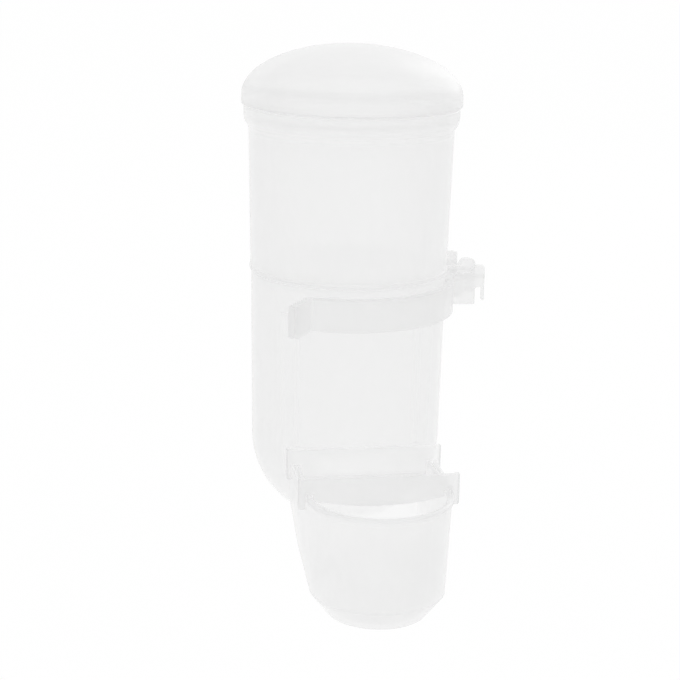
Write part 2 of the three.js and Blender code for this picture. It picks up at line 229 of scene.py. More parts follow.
def softened(corners, steps=6):
    """Line through corners given as two places and a rounding. Each corner becomes the quadratic
    curve that leaves one leg and meets the next at the rounding's distance from it, or at just
    under half a leg where that is shorter."""
    corners = np.asarray(corners, float)
    p, cut = corners[:, :2], corners[:, 2]
    back = np.roll(p, 1, axis=0) - p
    ahead = np.roll(p, -1, axis=0) - p
    back_length = np.linalg.norm(back, axis=1)
    ahead_length = np.linalg.norm(ahead, axis=1)
    cut = np.minimum(cut, LEG_SHARE * np.minimum(back_length, ahead_length))[:, None]
    leave = p + back / back_length[:, None] * cut
    meet = p + ahead / ahead_length[:, None] * cut
    s = np.linspace(0.0, 1.0, steps)[None, :, None]
    curve = (1 - s) ** 2 * leave[:, None] + 2 * s * (1 - s) * p[:, None] + s**2 * meet[:, None]
    return curve.reshape(-1, 2)


def distinct(outline):
    """Closed outline without the points that lie on the point before them."""
    return outline[np.linalg.norm(outline - np.roll(outline, 1, axis=0), axis=1) > SAME_PLACE]


def cells(shape, wrap_u=False, wrap_v=False):
    """Corner numbers of every cell of a grid of points. Where it wraps, the last line joins the
    first."""
    rows, columns = shape[:2]
    i = np.arange(rows if wrap_u else rows - 1)[:, None]
    j = np.arange(columns if wrap_v else columns - 1)[None, :]
    k = (i + 1) % rows
    m = (j + 1) % columns
    corners = (i * columns + j, k * columns + j, k * columns + m, i * columns + m)
    return np.stack(np.broadcast_arrays(*corners), axis=-1)


def patch(grid, wrap_u=False, wrap_v=False, kept=None):
    """Points and faces of one grid, less the cells that a mask leaves out."""
    faces = cells(grid.shape, wrap_u, wrap_v)
    faces = faces.reshape(-1, 4) if kept is None else faces[kept]
    return grid.reshape(-1, 3), faces


def turned(profile):
    """Profile of radius and height carried round the tube axis: (r sin a, -r cos a, z)."""
    a = np.linspace(0.0, 2 * np.pi, TURNS, endpoint=False)[:, None]
    r = profile[None, :, 0]
    z = np.broadcast_to(profile[None, :, 1], (TURNS, len(profile)))
    return np.stack([r * np.sin(a), -r * np.cos(a), z], axis=-1)


def opening(grid, half, low, high):
    """Hole through a wall whose profile runs up outside and comes down inside, in step. It reaches
    half its columns to each side of the grid's first one, and from row low to row high. Returns the
    mask of the cells that stay, and the points round the hole's outer and inner edge."""
    around, rows = grid.shape[:2]
    in_low, in_high = rows - 1 - low, rows - 1 - high
    kept = np.ones((around, rows - 1), bool)
    kept[np.ix_(np.r_[0:half, around - half : around], np.r_[low:high, in_high:in_low])] = False
    sill = np.r_[around - half : around, 0 : half + 1]
    up, down = np.arange(low, high + 1), np.arange(in_low, in_high - 1, -1)
    across, side = np.ones_like(sill), np.ones_like(up)
    column = np.concatenate([sill, side * sill[-1], sill[::-1], side * sill[0]])
    outside = np.concatenate([across * low, up, across * high, up[::-1]])
    inside = np.concatenate([across * in_low, down, across * in_high, down[::-1]])
    return kept, grid[column, outside], grid[column, inside]


def moulding(name, points, faces):
    """Mesh object with smooth shading, except across edges that turn by more than the sharp
    angle."""
    mesh = bpy.data.meshes.new(name)
    place = (points + np.array([0.0, 0.0, SEAM_RISE])) * MM
    mesh.from_pydata(place.tolist(), [], faces)
    mesh.polygons.foreach_set("use_smooth", np.ones(len(mesh.polygons), bool))
    mesh.set_sharp_from_angle(angle=math.radians(SHARP_ANGLE))
    mesh.update()
    made = bpy.data.objects.new(name, mesh)
    bpy.context.scene.collection.objects.link(made)
    return made


def shell(name, patches):
    """Closed moulding from grids that run the same way round. Points that lie together become one,
    corners that collapse and points without a face are left out, and the whole is turned
    outward."""
    first = np.cumsum([0] + [len(points) for points, _ in patches[:-1]])
    points = np.concatenate([points for points, _ in patches])
    faces = np.concatenate([face + number for (_, face), number in zip(patches, first)])
    place = np.round(points * WELDS_PER_MM).astype(np.int64)
    _, kept, same = np.unique(place, axis=0, return_index=True, return_inverse=True)
    used, corner = np.unique(same.reshape(-1)[faces], return_inverse=True)
    points = points[kept][used]
    faces = corner.reshape(faces.shape)
    repeated = faces == np.roll(faces, 1, axis=1)
    corners = 4 - repeated.sum(axis=1)
    whole = faces[corners == 4]
    three = faces[corners == 3][~repeated[corners == 3]].reshape(-1, 3)
    fan = np.concatenate([whole[:, [0, 1, 2]], whole[:, [0, 2, 3]], three])
    a, b, c = (points[fan[:, k]] for k in range(3))
    if np.einsum("ij,ij->", a, np.cross(b, c)) < 0:
        whole = whole[:, ::-1]
        three = three[:, ::-1]
    return moulding(name, points, whole.tolist() + three.tolist())


def slab(outline, origin, along, up, depth):
    """Flat outline in the along and up directions, carried a depth along their cross product.
    Returns points and faces, the two flat sides as one face each."""
    outline = np.asarray(outline, float)
    after = np.roll(outline, -1, axis=0)
    if np.sum(outline[:, 0] * after[:, 1] - outline[:, 1] * after[:, 0]) < 0:
        outline = outline[::-1]
    along, up = np.asarray(along, float), np.asarray(up, float)
    near = np.asarray(origin, float) + outline[:, :1] * along + outline[:, 1:] * up
    far = near + np.cross(along, up) * depth
    n = len(outline)
    i = np.arange(n)
    k = (i + 1) % n
    sides = np.stack([i, k, k + n, i + n], axis=1).tolist()
    return np.concatenate([near, far]), sides + [i[::-1].tolist(), (i + n).tolist()]


def plates(name, bodies, edge):
    """Moulding of several closed plates, with every sharp edge rounded by a small bevel."""
    first = np.cumsum([0] + [len(points) for points, _ in bodies[:-1]]).tolist()
    points = np.concatenate([points for points, _ in bodies])
    faces = [[start + k for k in face] for (_, body), start in zip(bodies, first) for face in body]
    made = moulding(name, points, faces)
    bevel = made.modifiers.new("rounded edges", "BEVEL")
    bevel.width = edge * MM
    bevel.segments = 3
    bevel.limit_method = "ANGLE"
    bevel.angle_limit = math.radians(50.0)
    bevel.harden_normals = True
    return made


def lid_surface():
    """Lid turned from one profile: elliptic dome z = rim + height sqrt(1 - (r/R)^2), rounded rim,
    seat, plug ring, and the same kind of dome inside."""
    t = np.linspace(0.0, np.pi / 2, DOME_ROWS)
    rim_z = LID_SEAT_Z + LID_RIM_HEIGHT
    outer = np.stack([LID_RADIUS * np.sin(t), rim_z + LID_DOME_HEIGHT * np.cos(t)], axis=1)
    plug_low_z = LID_SEAT_Z - PLUG_DEPTH
    inner_radius = PLUG_RADIUS - WALL
    inner_z = LID_SEAT_Z + WALL
    skirt = softened(
        [
            [LID_RADIUS, rim_z, 0.0],
            [LID_RADIUS, LID_SEAT_Z, 0.7],
            [PLUG_RADIUS, LID_SEAT_Z, 0.25],
            [PLUG_LOW_RADIUS, plug_low_z, 0.4],
            [PLUG_LOW_RADIUS - WALL, plug_low_z, 0.4],
            [inner_radius, inner_z, 0.0],
        ]
    )
    inner_height = LID_RIM_HEIGHT + LID_DOME_HEIGHT - 2 * WALL
    inner = np.stack([inner_radius * np.sin(t), inner_z + inner_height * np.cos(t)], axis=1)
    profile = np.concatenate([outer, skirt, inner[::-1]])
    return shell("lid_dome", [patch(turned(profile), wrap_u=True)])


def tube_surface():
    """Seed tube turned from one closed profile: spigot, seam bead, widening wall, a bevel that
    eases in and out under the collar, and the bore."""
    profile = softened(
        [
            [SPIGOT_RADIUS - WALL, -SPIGOT_DEPTH, 0.3],
            [SPIGOT_RADIUS, -SPIGOT_DEPTH, 0.4],
            [SPIGOT_RADIUS, 0.0, 0.15],
            [TUBE_RADIUS + BEAD_PROUD, 0.0, 0.3],
            [TUBE_RADIUS + BEAD_PROUD, BEAD_HEIGHT, 0.3],
            [TUBE_RADIUS, BEAD_HEIGHT + BEAD_PROUD, 0.3],
            [TUBE_TOP_RADIUS, TUBE_BEVEL_Z, 0.4],
            [TUBE_TOP_RADIUS + BEVEL_EASE, TUBE_BEVEL_Z + BEVEL_FOOT, 0.5],
            [COLLAR_RADIUS - BEVEL_EASE, COLLAR_Z - BEVEL_HEAD, 0.5],
            [COLLAR_RADIUS, COLLAR_Z, 0.5],
            [COLLAR_RADIUS, TUBE_TOP_Z, 0.5],
            [TUBE_TOP_RADIUS - WALL, TUBE_TOP_Z, 0.4],
            [TUBE_RADIUS - WALL, BEAD_HEIGHT + WALL, 1.0],
            [SPIGOT_RADIUS - WALL, BEAD_HEIGHT, 0.6],
        ]
    )
    return shell("seed_tube_wall", [patch(turned(profile), True, True)])


def base_rows(inset):
    """Radius and height of the base's round profile from the pole to the rim: an arc for the
    bottom, then the straight wall, with lines on the window's edges and close together at the ribs
    and the ledge."""
    arc = BOTTOM_ARC - inset
    low = math.acos((-WINDOW_LOW_Z - BASE_STRAIGHT) / arc)
    high = math.acos((-WINDOW_TOP_Z - BASE_STRAIGHT) / arc)
    bend = stops(0.0, BOTTOM_ROWS, low, WINDOW_ROWS, high, 3, np.pi / 2)
    rib_end = RIB_END + RIB_MARGIN
    ribs = (-BASE_STRAIGHT, 3, RIB_LOW_Z - rib_end, 6, RIB_LOW_Z + rib_end, 30)
    ledge = (LEDGE_LOW_Z - 0.8, 44, LEDGE_LOW_Z + 5.0, 4, BASE_TOP_Z)
    straight = stops(*ribs, *ledge)[1:]
    radius = BASE_RADIUS - inset + BASE_NARROWING * straight / BASE_STRAIGHT
    radius = np.concatenate([[0.0], BOTTOM_CENTRE + arc * np.sin(bend), radius])
    height = np.concatenate([[-arc], -arc * np.cos(bend), straight + BASE_STRAIGHT]) - BASE_STRAIGHT
    return radius, height


def base_surface():
    """Base as a polar grid of angle and profile. The radius is the smaller of the round profile and
    the flat front d / cos(a), where d grows along the ledge, with the corner between them rounded.
    The inner wall is the same formula set in by the wall. The window's cells are left out and its
    four sides close the gap."""
    margin = RIB_HALF + RIB_EDGE + RIB_MARGIN
    ribs = (RIB_X - margin, 12, RIB_X + margin, 5, FLAT_HALF)
    half = np.arctan(stops(0.0, WINDOW_COLUMNS, WINDOW_HALF, 8, *ribs) / FLAT_DISTANCE)
    rear = stops(half[-1], 16, math.radians(ROUND_START), ROUND_COLUMNS, np.pi)[1:]
    half = np.concatenate([half, rear])
    angle = np.concatenate([half, -half[-2:0:-1]])
    outer_radius, outer_z = base_rows(0.0)
    inner_radius, inner_z = base_rows(WALL)
    lip, lip_z = BASE_LIP.T
    radius = np.concatenate([outer_radius, BASE_RADIUS - lip, inner_radius[::-1]])
    height = np.concatenate([outer_z, lip_z, inner_z[::-1]])
    inset = np.concatenate([np.zeros(len(outer_z)), lip, np.full(len(inner_z), WALL)])[None, :]

    # The inner columns spread so that they face the outer ones across the flat front.
    near = np.clip(angle, -STEEP, STEEP)
    spread = np.arctan(np.tan(near) * FLAT_DISTANCE / (FLAT_DISTANCE - WALL)) - near
    spread = spread * (1.0 - smooth_step(np.degrees(np.abs(angle)), SPREAD_FULL, SPREAD_END))
    a = angle[:, None] + spread[:, None] * inset / WALL
    z = np.broadcast_to(height[None, :], a.shape)
    x = FLAT_DISTANCE * np.abs(np.tan(np.clip(a, -STEEP, STEEP)))
    rib = 1.0 - smooth_step(np.abs(x - RIB_X), RIB_HALF - RIB_EDGE, RIB_HALF + RIB_EDGE)
    rib = rib * smooth_step(z, RIB_LOW_Z - RIB_END, RIB_LOW_Z + RIB_END) * (inset == 0.0)
    flat = FLAT_DISTANCE - inset + RIB_PROUD * rib
    ledge_z = LEDGE_LOW_Z + inset * (math.hypot(1.0, LEDGE_SLOPE) - LEDGE_SLOPE)
    ledge = FLAT_DISTANCE - inset + (z - ledge_z) / LEDGE_SLOPE
    forward = smooth_most(flat, np.minimum(ledge, LEDGE_LIMIT), LEDGE_ROUNDING)
    cosine = np.maximum(np.cos(a), LEAST_COSINE)
    round_wall = np.broadcast_to(radius[None, :], a.shape)
    r = smooth_least(round_wall, forward / cosine, FLAT_ROUNDING)
    grid = np.stack([r * np.sin(a), -r * np.cos(a), z], axis=-1)

    low = BOTTOM_ROWS + 1
    kept, outside, inside = opening(grid, WINDOW_COLUMNS, low, low + WINDOW_ROWS)
    reveal = patch(np.stack([outside, inside], axis=1), wrap_u=True)
    return shell("hopper_base_wall", [patch(grid, wrap_u=True, kept=kept), reveal])


def heading(degrees):
    """Level direction at an angle from the front, positive toward +X."""
    angle = math.radians(degrees)
    return np.array([math.sin(angle), -math.cos(angle), 0.0])


def clip_strip():
    """Clip band and lip as one strip: an upright rectangle carried along the arc round the base
    and, past a tight bend, straight out along the lip, whose lower edge rises at its end."""
    half = CLIP_THICKNESS / 2
    turn = np.radians(np.linspace(CLIP_REAR_ANGLE, CLIP_FRONT_ANGLE + LIP_BEND_ANGLE, ARC_ROWS))
    arc = (CLIP_INNER + half) * np.stack([np.sin(turn), -np.cos(turn)], axis=1)
    out = heading(CLIP_FRONT_ANGLE)[:2]
    edge = heading(CLIP_FRONT_ANGLE + 90.0)[:2] * half
    corner = out * (CLIP_INNER + half + LIP_BEND_OUT) + edge
    end = out * LIP_REACH + edge
    bend = softened([[*arc[-1], 0.0], [*corner, LIP_BEND], [*end, 0.0]], steps=LIP_BEND_STEPS)
    bend = bend[LIP_BEND_STEPS : 2 * LIP_BEND_STEPS]
    lip = bend[-1] + (end - bend[-1]) * np.linspace(0.0, 1.0, LIP_ROWS)[1:, None]
    path = np.concatenate([arc, bend, lip])
    step = np.gradient(path, axis=0)
    step = step / np.linalg.norm(step, axis=1)[:, None]
    side = np.stack([step[:, 1], -step[:, 0]], axis=1) * half
    reach = np.linalg.norm(path, axis=1)
    low = CLIP_LOW_Z + LIP_END_RISE * smooth_step(reach, LIP_REACH - LIP_END_LENGTH, LIP_REACH)
    top = np.full(len(path), CLIP_TOP_Z)
    section = ((-1, low), (1, low), (1, top), (-1, top))
    grid = np.stack([np.column_stack([path + sign * side, z]) for sign, z in section], axis=1)
    points, faces = patch(grid, wrap_v=True)
    last = len(points) - 4
    return points, faces.tolist() + [[0, 1, 2, 3], [last + 3, last + 2, last + 1, last]]


def clip_finger(turn):
    """One hook finger: its side view, with the slot for the wire open below, carried through its
    thickness."""
    lean = math.radians(turn)
    middle = WIRE_DISTANCE / math.cos(lean)
    gap = WIRE_SLOT / 2 + FINGER_THICKNESS / 2 * abs(math.tan(lean))
    face = CLIP_INNER + CLIP_THICKNESS
    root = face - ROOT_OVERLAP
    nose = (FINGER_REACH - middle - gap) * NOSE_SHARE
    outline = softened(
        [
            [root, FINGER_LOW_Z, 0.0],
            [middle - gap, FINGER_LOW_Z, 0.3],
            [middle - gap, WIRE_SLOT_TOP_Z, 0.6],
            [middle + gap, WIRE_SLOT_TOP_Z, 0.6],
            [middle + gap, PRONG_LOW_Z, 0.25],
            [FINGER_REACH, PRONG_LOW_Z, 0.25],
            [FINGER_REACH, NOSE_Z, nose],
            [middle - gap, NOSE_Z, 0.5],
            [middle - gap - WIRE_SLOT, SHOULDER_Z, 0.5],
            [face + SHOULDER_SLOPE, SHOULDER_Z, 0.5],
            [face, CLIP_TOP_Z, 0.3],
            [root, CLIP_TOP_Z, 0.0],
        ],
        steps=4,
    )
    along = heading(FINGER_ANGLE + turn)
    up = np.array([0.0, 0.0, 1.0])
    origin = -np.cross(along, up) * FINGER_THICKNESS / 2
    return slab(distinct(outline), origin, along, up, FINGER_THICKNESS)


def clip_surface():
    """Clip as one moulding: the strip and its three hook fingers."""
    fingers = [clip_finger(step * FINGER_SPREAD) for step in (-1, 0, 1)]
    return plates("cage_clip_strip", [clip_strip(), *fingers], CLIP_EDGE)


def trough_half(z, inset):
    """Half width of the trough at a height: narrower toward the floor, less the inset."""
    return CUP_RADIUS - CUP_NARROWING * (CUP_RIM_Z - z) / (CUP_RIM_Z - CUP_EDGE_Z) - inset


def trough_floor(x, d, inset):
    """Height of the trough's underside: the lower of the channel's two slopes and the cup's cone
    over its flat floor, met by a small fillet. With an inset it is the inside, one wall higher."""
    channel = np.interp(
        d,
        [TROUGH_REAR + inset, CHANNEL_KNEE, CUP_DISTANCE, CUP_DISTANCE + CHANNEL_END],
        [CHANNEL_REAR_Z + inset, CHANNEL_KNEE_Z + inset, CUP_EDGE_Z + inset, 0.0],
    )
    r = np.hypot(x, np.maximum(d, 0.0) - CUP_DISTANCE)
    edge_z = CUP_EDGE_Z + inset / 2
    edge_r = trough_half(CUP_EDGE_Z, inset)
    past = 3.0
    cone = np.interp(
        r,
        [CUP_FLOOR_RADIUS - inset / 2, edge_r, edge_r + past],
        [CUP_FLOOR_Z + inset, edge_z, edge_z + past * CUP_WALL_SLOPE],
    )
    return smooth_least(channel, cone, CUP_FILLET)


def trough_surface():
    """Feed trough as one grid of outline and profile. The outline runs from the middle of the rear
    wall along one side, round the half circle of the cup and back. The profile runs from the middle
    of the underside out to the wall, up to the rim, over it and down inside to the middle of the
    floor."""
    # Shares of each outline point: across the sleeve f, past it g, along the side t, round the cup.
    f = stops(0.0, SLEEVE_COLUMNS, 1.0)
    g = stops(0.0, CORNER_COLUMNS, 1.0)[1:]
    t = stops(0.0, SIDE_COLUMNS, 1.0)[1:]
    swing = np.linspace(0.0, np.pi / 2, CUP_COLUMNS)[1:]
    ends = np.cumsum([len(v) for v in (f, g, t, swing)])
    shares = [
        np.concatenate([np.zeros(end - len(v)), v, np.ones(ends[-1] - end)])
        for v, end in zip((f, g, t, swing), ends)
    ]
    f, g, t, swing = (np.concatenate([v, v[-2:0:-1]])[:, None] for v in shares)
    sign = np.concatenate([np.ones(ends[-1]), -np.ones(ends[-1] - 2)])[:, None]

    def outline(z, inset):
        """Plan point of the wall at a height: rear wall, side or half circle, with the bead along
        the front rim."""
        w = trough_half(z, inset)
        bead_z = CUP_RIM_Z - BEAD_DROP
        bead = smooth_step(CUP_DISTANCE + w * np.sin(swing), BEAD_START, BEAD_FULL)
        bead = bead * smooth_step(z, bead_z - BEAD_EDGE, bead_z + BEAD_EDGE)
        w = w + RIM_BEAD * bead * (1.0 - inset / WALL)
        hole = SLEEVE_HALF - inset
        x = sign * (hole * f + (w - hole) * g) * np.cos(swing)
        rear = TROUGH_REAR + inset
        d = rear + t * (CUP_DISTANCE - rear) + w * np.sin(swing)
        return x, d

    def wall(inset):
        """Rows of the wall between its lower edge and just under the rim, with lines on the edges
        of the sleeve's hole."""
        top = CUP_RIM_Z - RIM_ROUND
        rear_z = CHANNEL_REAR_Z + inset
        hole = np.array([SLEEVE_LOW_Z + inset, SLEEVE_TOP_Z - inset])
        low_share, top_share = (hole - rear_z) / (top - rear_z)
        levels = stops(0.0, SILL_ROWS, low_share, SLEEVE_ROWS, top_share, HEAD_ROWS, 1.0)
        x, d = outline(np.full_like(f, CUP_EDGE_Z + inset / 2), inset)
        low = trough_floor(x, d, inset)
        z = low + (top - low) * levels[None, :]
        x, d = outline(z, inset)
        return np.stack([x, d, z], axis=-1)

    def underside(edge, inset):
        """Rows of the underside, from its spine to the wall's lower edge."""
        floor_share = CUP_FLOOR_RADIUS / trough_half(CUP_EDGE_Z, 0.0)
        across = stops(0.0, FLOOR_ROWS, floor_share, CONE_ROWS, 1.0)[None, :]
        rear = TROUGH_REAR + inset + SPINE_START
        spine = rear + t * (CUP_DISTANCE - rear)
        x = edge[:, :1, 0] * across
        d = spine + (edge[:, :1, 1] - spine) * across
        return np.stack([x, d, trough_floor(x, d, inset)], axis=-1)

    outer = wall(0.0)
    inner = wall(WALL)
    bottom = underside(outer, 0.0)
    floor = underside(inner, WALL)
    lip, lip_drop = TROUGH_LIP.T[:, None, :]
    rim_z = np.broadcast_to(CUP_RIM_Z - lip_drop, (len(f), len(TROUGH_LIP)))
    rim = np.stack([*outline(rim_z, lip), rim_z], axis=-1)
    rows = [bottom[:, :-1], outer, rim, inner[:, ::-1], floor[:, -2::-1]]
    grid = np.concatenate(rows, axis=1) * np.array([1.0, -1.0, 1.0])

    low = FLOOR_ROWS + CONE_ROWS + SILL_ROWS
    kept, mouth, bore = opening(grid, SLEEVE_COLUMNS, low, low + SLEEVE_ROWS)
    flat = np.array([1.0, 0.0, 1.0])
    back = np.array([0.0, -SLEEVE_END, 0.0])
    sleeve = np.stack([mouth, mouth * flat + back, bore * flat + back, bore], axis=1)
    wall_patch = patch(grid, wrap_u=True, kept=kept)
    return shell("feed_trough_wall", [wall_patch, patch(sleeve, wrap_u=True)])


def yoke_plate(front, drop, sag):
    """Cross plate of the yoke seen from the front: an apron between the walls that sags by a
    parabola, a notch over each wall and a tab outside it, carried through its thickness."""
    apron_z = CUP_RIM_Z - drop
    top_z = CUP_RIM_Z + YOKE_TOP
    tab_top_z = top_z + TAB_TOP
    notch_z = CUP_RIM_Z + CLEARANCE
    inner = trough_half(apron_z - sag, WALL + CLEARANCE)
    outer = CUP_RADIUS + CLEARANCE
    tab = outer + YOKE_ARM
    tab_end = tab + TAB_WIDTH
    tab_low_z = CUP_RIM_Z - TAB_DROP
    right = softened(
        [
            [inner * APRON_END, apron_z - APRON_END_SAG * sag, 0.0],
            [inner, apron_z, 0.3],
            [inner, notch_z, 0.15],
            [outer, notch_z, 0.15],
            [outer, tab_low_z, 0.7],
            [tab_end, tab_low_z, 0.7],
            [tab_end, tab_top_z, 0.3],
            [tab, tab_top_z, 0.2],
            [tab, top_z, 0.15],
            [0.0, top_z, 0.0],
        ],
        steps=5,
    )
    share = np.linspace(-APRON_SHARE, APRON_SHARE, APRON_ROWS)
    apron = np.stack([inner * share, apron_z - sag * (1.0 - share**2)], axis=1)
    outline = np.concatenate([apron, right, right[::-1] * np.array([-1.0, 1.0])])
    origin = [0.0, -front + YOKE_PLATE, 0.0]
    return slab(distinct(outline), origin, [1.0, 0.0, 0.0], [0.0, 0.0, 1.0], YOKE_PLATE)


def yoke_arm(side):
    """Arm of the yoke along the outside of one trough wall: its section carried between the
    plates."""
    near = side * (CUP_RADIUS + CLEARANCE)
    far = side * (CUP_RADIUS + CLEARANCE + YOKE_ARM)
    low, high = CUP_RIM_Z - ARM_DROP, CUP_RIM_Z + ARM_RISE
    section = [[near, low], [far, low], [far, high], [near, high]]
    length = YOKE_FRONT - YOKE_PLATE - YOKE_REAR + 2 * ARM_OVERLAP
    origin = [0.0, -YOKE_REAR + ARM_OVERLAP, 0.0]
    return slab(section, origin, [1.0, 0.0, 0.0], [0.0, 0.0, 1.0], length)


def yoke_surface():
    """Yoke as one moulding: the rear plate, the sagging front plate and the two arms."""
    rear = yoke_plate(YOKE_REAR, REAR_APRON, 0.0)
    front = yoke_plate(YOKE_FRONT, FRONT_APRON, YOKE_SAG)
    return plates("trough_yoke_plates", [rear, front, yoke_arm(-1), yoke_arm(1)], YOKE_EDGE)


class Flow:
    """A value on its way through a node tree. Arithmetic on it adds Math nodes, and node() adds any
    other."""

    def __init__(self, tree, socket=None):
        self.tree = tree
        self.socket = socket

    def node(self, kind, settings=None, inputs=None, output=0):
        made = self.tree.nodes.new(kind)
        for key, value in (settings or {}).items():
            setattr(made, key, value)
        for key, value in (inputs or {}).items():
            if isinstance(value, Flow):
                self.tree.links.new(value.socket, made.inputs[key])
            else:
                made.inputs[key].default_value = value
        return Flow(self.tree, made.outputs[output] if made.outputs else None)

    def maths(self, operation, *terms):
        return self.node("ShaderNodeMath", {"operation": operation}, dict(enumerate(terms)))

    def __add__(self, other):
        return self.maths("ADD", self, other)

    __radd__ = __add__

    def __mul__(self, other):
        return self.maths("MULTIPLY", self, other)

    __rmul__ = __mul__

    def __sub__(self, other):
        return self.maths("SUBTRACT", self, other)

    def __rsub__(self, other):
        return self.maths("SUBTRACT", other, self)

    def __rtruediv__(self, other):
        return self.maths("DIVIDE", other, self)

    def __rpow__(self, other):
        return self.maths("POWER", other, self)

    def at_least(self, other):
        return self.maths("MAXIMUM", self, other)

    def beside(self, output):
        return Flow(self.tree, self.socket.node.outputs[output])


def fresh_flow(owner):
    """Start of a flow in the emptied node tree of a material or world."""
    owner.use_nodes = True
    owner.node_tree.nodes.clear()
    return Flow(owner.node_tree)


def colour_mix(flow, share, plain, full):
    """One colour or another by a share. A plain colour is given as red, green and blue."""
    plain, full = (v if isinstance(v, Flow) else (*v, 1.0) for v in (plain, full))
    return flow.node("ShaderNodeMix", {"data_type": "RGBA"}, {0: share, 6: plain, 7: full}, 2)


def noise(flow, place, scale, detail, roughness):
    """Noise at a place, near 0.5 on the whole."""
    inputs = {"Vector": place, "Scale": scale, "Detail": detail, "Roughness": roughness}
    return flow.node("ShaderNodeTexNoise", {}, inputs)


def closeness(place, centre, near, far):
    """1 within the near distance of a point, or of a level where the centre is one number, and 0
    past the far."""
    if isinstance(centre, tuple):
        ends = {0: place, 1: centre}
        away = place.node("ShaderNodeVectorMath", {"operation": "DISTANCE"}, ends, "Value")
    else:
        height = place.node("ShaderNodeSeparateXYZ", {}, {0: place}, "Z")
        away = place.maths("ABSOLUTE", height - centre)
    limits = {"Value": away, "From Min": near, "From Max": far, "To Min": 1.0, "To Max": 0.0}
    return place.node("ShaderNodeMapRange", {"interpolation_type": "SMOOTHSTEP"}, limits)


# Milky plastic: how the clouds run and what they add to the depth, the most slanting look that
# counts, how much scattered light passes freely, and how far the grain turns gloss and surface.
CLOUD_SCALE = 70.0
CLOUD_STRETCH = (1.0, 1.0, 0.7)
CLOUD_LEAST = 0.93
CLOUD_SPREAD = 0.14
LEAST_SLANT = 0.6
FREE_SHARE = 0.93
GLOSS_SPREAD = 0.14
GRAIN_STRENGTH = 0.03
GRAIN_HEIGHT = 0.0002


def milky_plastic(name, bright, dull, milk, gloss, grain, thick_and_painted_shade, thin_and_painted_light=None):
    """Translucent polypropylene. Clouds from the melt flow vary its colour and milkiness, a fine
    grain its gloss and surface. A slanting look passes more of the skin: cover = 1 - (1 - milk)^(1
    / cos). Light that is scattered passes the skin almost freely, as it does in the real thing.
    Colour and cover deepen along the thick rims and ends, and where painted shade and a painted
    dark reflection are put. A clearer place lets more through, both for thin plastic and for
    painted light."""
    material = bpy.data.materials.new(name)
    flow = fresh_flow(material)
    place = flow.node("ShaderNodeTexCoord", output="Object")
    drawn = flow.node("ShaderNodeMapping", {}, {"Vector": place, "Scale": CLOUD_STRETCH})
    cloud = noise(flow, drawn, CLOUD_SCALE, 3.0, 0.55)
    fine = noise(flow, place, grain, 2.0, 0.5)
    bulk_and_shade = 0.0
    # Deepening toward DEEP: thick plastic, and also painted shade and a painted dark reflection at
    # the places listed as such.
    for centre, near, far, share in thick_and_painted_shade:
        bulk_and_shade = (closeness(place, centre, near, far) * share).at_least(bulk_and_shade)
    colour = colour_mix(flow, bulk_and_shade, colour_mix(flow, cloud, dull, bright), DEEP)
    cosine = 1.0 - flow.node("ShaderNodeLayerWeight", {}, {"Blend": 0.5}, "Facing")
    clouded = CLOUD_LEAST + cloud * CLOUD_SPREAD
    depth = 1.0 / cosine.at_least(LEAST_SLANT) * clouded * (1.0 + bulk_and_shade)
    if thin_and_painted_light:
        centre, near, far, share = thin_and_painted_light
        depth = depth * (1.0 - closeness(place, centre, near, far) * share)
    ray = flow.node("ShaderNodeLightPath", output="Is Shadow Ray")
    scattered = ray.at_least(ray.beside("Is Diffuse Ray"))
    cover = (1.0 - (1.0 - milk) ** depth) * (1.0 - FREE_SHARE * scattered)
    relief = {"Strength": GRAIN_STRENGTH, "Distance": GRAIN_HEIGHT, "Height": fine}
    skin = flow.node(
        "ShaderNodeBsdfPrincipled",
        {},
        {
            "Base Color": colour,
            "Roughness": gloss + (fine - 0.5) * GLOSS_SPREAD,
            "IOR": 1.49,
            "Specular IOR Level": 0.4,
            "Alpha": cover,
            "Normal": flow.node("ShaderNodeBump", {}, relief),
        },
    )
    flow.node("ShaderNodeOutputMaterial", {}, {"Surface": skin})
    return material


def finished(piece, body, node, material):
    """Hangs a piece on its CAD body in place of the plain solid and gives it its finish."""
    piece.data.materials.append(material)
    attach(piece, body)
    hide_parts(node)


def grey(level):
    """Colour without a hue."""
    return (level, level, level)


# Deeper and clearer places, in metres: a level or a point, the distance within which the place is
# fully so, the distance at which it ends, and by what share the plastic is deeper or clearer there.
# The rims, ends, bead and tabs are thick plastic. cup_front darkens the middle of the cup's front
# wall. The marks named painted are painted shade, painted reflection and painted light.
lid_rim = (0.0567, 0.0003, 0.0018, 0.28)
# Painted reflection: a dark ring low on the dome stands in for the dark horizon reflected there.
lid_painted_reflection_ring = (0.0619, 0.0004, 0.0016, 0.26)
plug_end = (0.0447, 0.0002, 0.0010, 0.15)
plug_ring = ((0.0, 0.0, 0.035), 0.0356, 0.0385, 0.7)
tube_bead = (0.0080, 0.0004, 0.0014, 0.26)
collar_edge = (0.0534, 0.0002, 0.0014, 0.2)
collar_rim = (0.0561, 0.0002, 0.0012, 0.2)
bevel_foot = (0.0496, 0.0005, 0.0013, 0.35)
base_rim = (0.0070, 0.0002, 0.0012, 0.12)
base_foot = ((0.0, -0.012, -0.063), 0.016, 0.024, 0.6)
clip_top = (0.0048, 0.0002, 0.0011, 0.35)
clip_low = (-0.0048, 0.0002, 0.0009, 0.15)
# Painted shade: the lip's end is darkened for the dark reflection off its slant.
lip_end_painted_shade = ((-0.0229, -0.0366, 0.0), 0.0045, 0.012, 0.30)
trough_rim = (-0.0432, 0.0004, 0.0014, 0.35)
cup_edge = (-0.0708, 0.0002, 0.0010, 0.14)
cup_front = ((0.0, -0.0795, -0.0600), 0.008, 0.022, 0.16)
